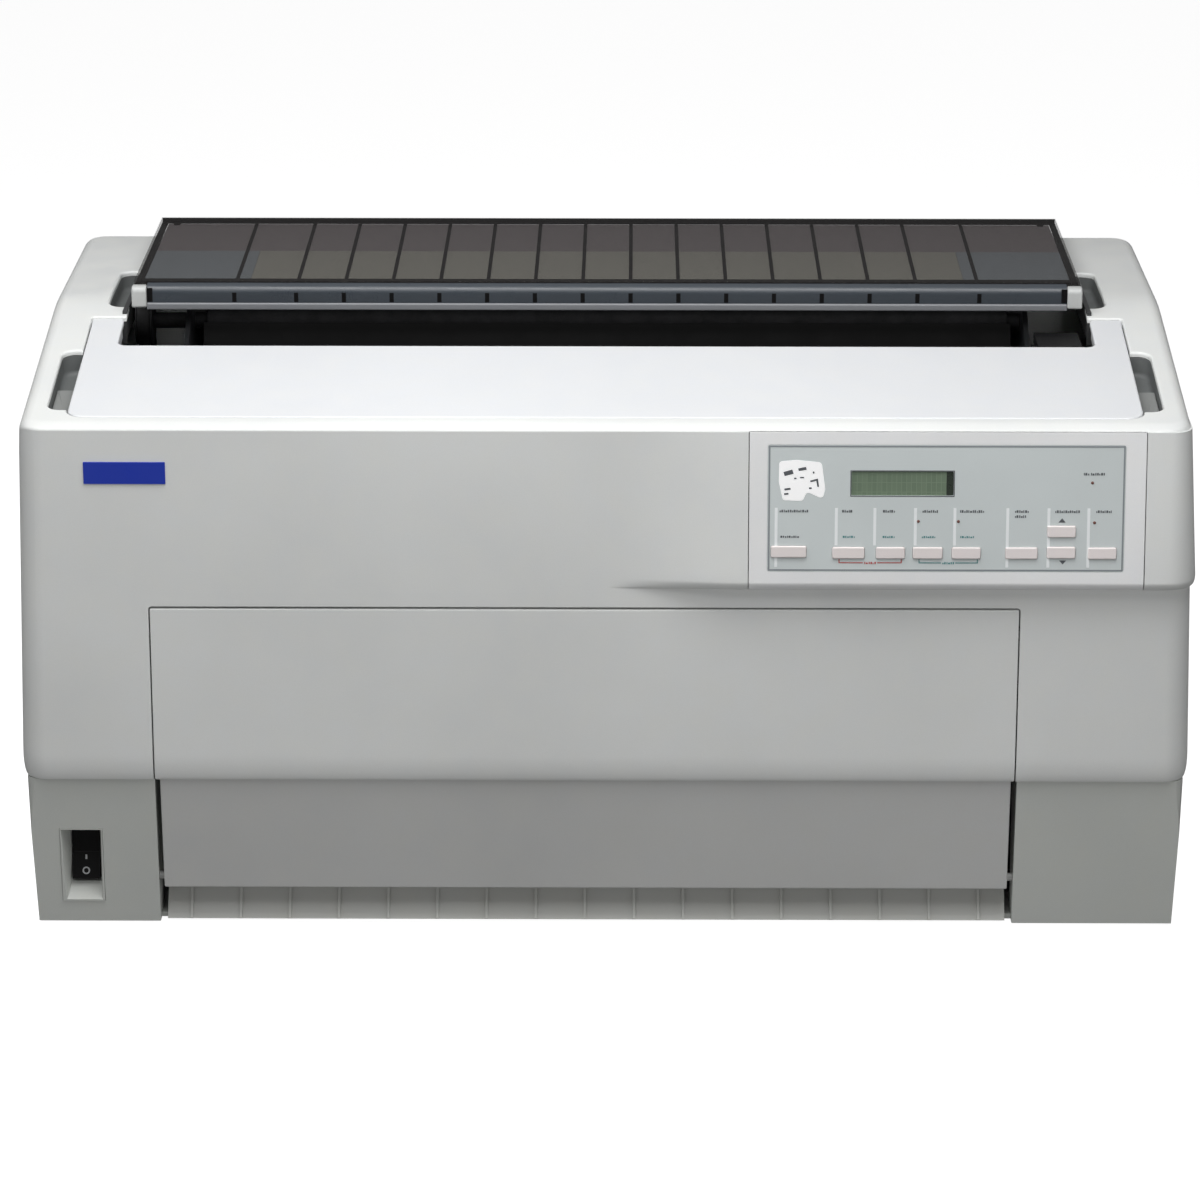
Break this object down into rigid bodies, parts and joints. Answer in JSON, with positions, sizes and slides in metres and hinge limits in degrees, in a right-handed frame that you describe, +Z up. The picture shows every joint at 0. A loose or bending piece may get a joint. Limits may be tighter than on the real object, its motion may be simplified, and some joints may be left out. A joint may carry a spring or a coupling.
{
  "type": "dot matrix printer",
  "caption": "Wide heavy-duty dot matrix printer with tilted control panel, drop-down front door, lift-up covers, front and rear tractors and a sliding print head.",
  "frame": {"origin": "on the standing surface, below the middle of the body", "axes": "+X to the right seen from the front, +Y to the back, +Z up"},
  "size_m": [0.7, 0.382, 0.363],
  "materials": {
    "case_top": "fine textured light warm grey moulding",
    "case_base": "fine textured warm grey moulding",
    "cover_white": "smooth off-white moulding",
    "case_rear": "fine textured light grey moulding",
    "smoke": "smoked transparent moulding",
    "rail": "satin extrusion",
    "overlay": "satin printed membrane",
    "lcd": "green display glass",
    "led": "tinted lens",
    "badge": "blank blue badge",
    "foot_rubber": "matt rubber",
    "button": "pale key caps",
    "black_plastic": "black moulding",
    "guide_grey": "grey ribbed moulding",
    "exit_plate": "light beige moulding",
    "gate_blue": "slate blue moulding",
    "circuit_board": "green circuit board with black parts",
    "sheet_steel": "zinc plated sheet",
    "ground_steel": "ground shaft",
    "platen_metal": "dark coated bar",
    "head_metal": "cast and finned",
    "motor_black": "black motor bodies",
    "belt_rubber": "timing belts",
    "roller_rubber": "rubber rollers on a steel shaft",
    "nylon": "natural nylon gear"
  },
  "bodies": {
    "printer_body": {"lower_case": "case_base", "upper_case": "case_top", "panel_bezel": "case_top", "panel_overlay": "overlay", "lcd_window": "lcd", "led_lenses": "led", "name_plate": "badge", "feet": "foot_rubber", "power_switch_frame": "case_base", "control_board": "circuit_board", "main_board": "circuit_board", "power_supply": "sheet_steel", "ac_inlet": "black_plastic", "interface_ports": "sheet_steel", "frame_left": "sheet_steel", "frame_right": "sheet_steel", "cross_beams": "sheet_steel", "case_screws": "ground_steel", "platen": "platen_metal", "guide_shafts": "ground_steel", "ribbon_cartridge": "black_plastic", "drive_belts": "belt_rubber", "motors": "motor_black", "lower_paper_guide": "guide_grey", "inner_paper_guides": "black_plastic", "exit_guide_plate": "exit_plate"},
    "printer_cover": {"printer_cover": "cover_white"},
    "eject_cover": {"eject_cover": "smoke", "eject_cover_walls": "smoke", "eject_cover_rail": "rail", "rail_end_caps": "cover_white"},
    "front_cover": {"front_cover": "case_base"},
    "rear_cover": {"rear_cover": "case_rear"},
    "button_1": {"button_1": "button"},
    "button_2": {"button_2": "button"},
    "button_3": {"button_3": "button"},
    "button_4": {"button_4": "button"},
    "button_5": {"button_5": "button"},
    "button_6": {"button_6": "button"},
    "button_7": {"button_7": "button"},
    "button_8": {"button_8": "button"},
    "button_9": {"button_9": "button"},
    "power_rocker": {"power_rocker": "black_plastic"},
    "carriage": {"carriage": "black_plastic", "print_head": "head_metal"},
    "motor_pulley": {"motor_pulley": "head_metal"},
    "idler_pulley": {"idler_pulley": "head_metal"},
    "ribbon_knob": {"ribbon_knob": "gate_blue"},
    "feed_pinion": {"feed_pinion": "nylon"},
    "front_drive_shaft": {"front_drive_shaft": "ground_steel"},
    "rear_drive_shaft": {"rear_drive_shaft": "ground_steel"},
    "exit_roller": {"exit_roller": "roller_rubber"},
    "front_tractor_left": {"front_tractor_left": "black_plastic"},
    "front_tractor_right": {"front_tractor_right": "black_plastic"},
    "rear_tractor_left": {"rear_tractor_left": "black_plastic"},
    "rear_tractor_right": {"rear_tractor_right": "black_plastic"},
    "front_gate_left": {"front_gate_left": "gate_blue"},
    "front_gate_right": {"front_gate_right": "gate_blue"},
    "rear_gate_left": {"rear_gate_left": "gate_blue"},
    "rear_gate_right": {"rear_gate_right": "gate_blue"}
  },
  "joints": [
    {"name": "printer_cover_hinge", "type": "hinge", "parent": "printer_body", "child": "printer_cover", "pos_m": [0, -0.0196, 0.3392], "axis": [-1, 0, 0], "range_deg": [0, 75]},
    {"name": "eject_cover_hinge", "type": "hinge", "parent": "printer_body", "child": "eject_cover", "pos_m": [0, 0.171, 0.355], "axis": [-1, 0, 0], "range_deg": [0, 85]},
    {"name": "front_cover_hinge", "type": "hinge", "parent": "printer_body", "child": "front_cover", "pos_m": [0, -0.163, 0.031], "axis": [1, 0, 0], "range_deg": [0, 85]},
    {"name": "rear_cover_hinge", "type": "hinge", "parent": "printer_body", "child": "rear_cover", "pos_m": [0, 0.185, 0.297], "axis": [1, 0, 0], "range_deg": [0, 80]},
    {"name": "button_1_press", "type": "slide", "parent": "printer_body", "child": "button_1", "axis": [0, 0.9959, -0.0901], "range_m": [0, 0.0012], "stiffness_N_per_m": 300},
    {"name": "button_2_press", "type": "slide", "parent": "printer_body", "child": "button_2", "axis": [0, 0.9959, -0.0901], "range_m": [0, 0.0012], "stiffness_N_per_m": 300},
    {"name": "button_3_press", "type": "slide", "parent": "printer_body", "child": "button_3", "axis": [0, 0.9959, -0.0901], "range_m": [0, 0.0012], "stiffness_N_per_m": 300},
    {"name": "button_4_press", "type": "slide", "parent": "printer_body", "child": "button_4", "axis": [0, 0.9959, -0.0901], "range_m": [0, 0.0012], "stiffness_N_per_m": 300},
    {"name": "button_5_press", "type": "slide", "parent": "printer_body", "child": "button_5", "axis": [0, 0.9959, -0.0901], "range_m": [0, 0.0012], "stiffness_N_per_m": 300},
    {"name": "button_6_press", "type": "slide", "parent": "printer_body", "child": "button_6", "axis": [0, 0.9959, -0.0901], "range_m": [0, 0.0012], "stiffness_N_per_m": 300},
    {"name": "button_7_press", "type": "slide", "parent": "printer_body", "child": "button_7", "axis": [0, 0.9959, -0.0901], "range_m": [0, 0.0012], "stiffness_N_per_m": 300},
    {"name": "button_8_press", "type": "slide", "parent": "printer_body", "child": "button_8", "axis": [0, 0.9959, -0.0901], "range_m": [0, 0.0012], "stiffness_N_per_m": 300},
    {"name": "button_9_press", "type": "slide", "parent": "printer_body", "child": "button_9", "axis": [0, 0.9959, -0.0901], "range_m": [0, 0.0012], "stiffness_N_per_m": 300},
    {"name": "power_rocker_tilt", "type": "hinge", "parent": "printer_body", "child": "power_rocker", "pos_m": [0, -0.156, 0.0445], "axis": [1, 0, 0], "range_deg": [0, 14]},
    {"name": "carriage_slide", "type": "slide", "parent": "printer_body", "child": "carriage", "axis": [1, 0, 0], "range_m": [-0.19, 0.19]},
    {"name": "motor_pulley_turn", "type": "hinge", "parent": "printer_body", "child": "motor_pulley", "pos_m": [-0.235, -0.1, 0.231], "axis": [0, 0, 1], "range_deg": [-870, 870]},
    {"name": "idler_pulley_turn", "type": "hinge", "parent": "printer_body", "child": "idler_pulley", "pos_m": [0.235, -0.1, 0.231], "axis": [0, 0, 1], "range_deg": [-870, 870]},
    {"name": "ribbon_knob_turn", "type": "hinge", "parent": "printer_body", "child": "ribbon_knob", "pos_m": [-0.2, -0.151, 0.304], "axis": [0, 0, 1], "continuous": true},
    {"name": "front_drive_turn", "type": "hinge", "parent": "printer_body", "child": "front_drive_shaft", "pos_m": [0, -0.112, 0.134], "axis": [1, 0, 0], "continuous": true},
    {"name": "rear_drive_turn", "type": "hinge", "parent": "printer_body", "child": "rear_drive_shaft", "pos_m": [0, 0.112, 0.168], "axis": [1, 0, 0], "continuous": true},
    {"name": "exit_roller_turn", "type": "hinge", "parent": "printer_body", "child": "exit_roller", "pos_m": [0, 0.028, 0.33], "axis": [1, 0, 0], "continuous": true},
    {"name": "feed_pinion_turn", "type": "hinge", "parent": "printer_body", "child": "feed_pinion", "pos_m": [-0.268, -0.0952, 0.1116], "axis": [1, 0, 0], "continuous": true},
    {"name": "front_tractor_left_slide", "type": "slide", "parent": "printer_body", "child": "front_tractor_left", "axis": [1, 0, 0], "range_m": [-0.02, 0.12]},
    {"name": "front_gate_left_hinge", "type": "hinge", "parent": "front_tractor_left", "child": "front_gate_left", "pos_m": [-0.192, -0.1388, 0.15], "axis": [0, 0, -1], "range_deg": [0, 110]},
    {"name": "front_tractor_right_slide", "type": "slide", "parent": "printer_body", "child": "front_tractor_right", "axis": [1, 0, 0], "range_m": [-0.12, 0.02]},
    {"name": "front_gate_right_hinge", "type": "hinge", "parent": "front_tractor_right", "child": "front_gate_right", "pos_m": [0.192, -0.1388, 0.15], "axis": [0, 0, 1], "range_deg": [0, 110]},
    {"name": "rear_tractor_left_slide", "type": "slide", "parent": "printer_body", "child": "rear_tractor_left", "axis": [1, 0, 0], "range_m": [-0.02, 0.12]},
    {"name": "rear_gate_left_hinge", "type": "hinge", "parent": "rear_tractor_left", "child": "rear_gate_left", "pos_m": [-0.192, 0.1388, 0.185], "axis": [0, 0, 1], "range_deg": [0, 110]},
    {"name": "rear_tractor_right_slide", "type": "slide", "parent": "printer_body", "child": "rear_tractor_right", "axis": [1, 0, 0], "range_m": [-0.12, 0.02]},
    {"name": "rear_gate_right_hinge", "type": "hinge", "parent": "rear_tractor_right", "child": "rear_gate_right", "pos_m": [0.192, 0.1388, 0.185], "axis": [0, 0, -1], "range_deg": [0, 110]}
  ],
  "couplings": [
    {"joint": "motor_pulley_turn", "follows": "carriage_slide", "rad_per_m": 78.74},
    {"joint": "idler_pulley_turn", "follows": "carriage_slide", "rad_per_m": 78.74},
    {"joint": "feed_pinion_turn", "follows": "front_drive_turn", "ratio": -2.5},
    {"joint": "rear_drive_turn", "follows": "front_drive_turn", "ratio": 1},
    {"joint": "exit_roller_turn", "follows": "front_drive_turn", "ratio": 1}
  ]
}
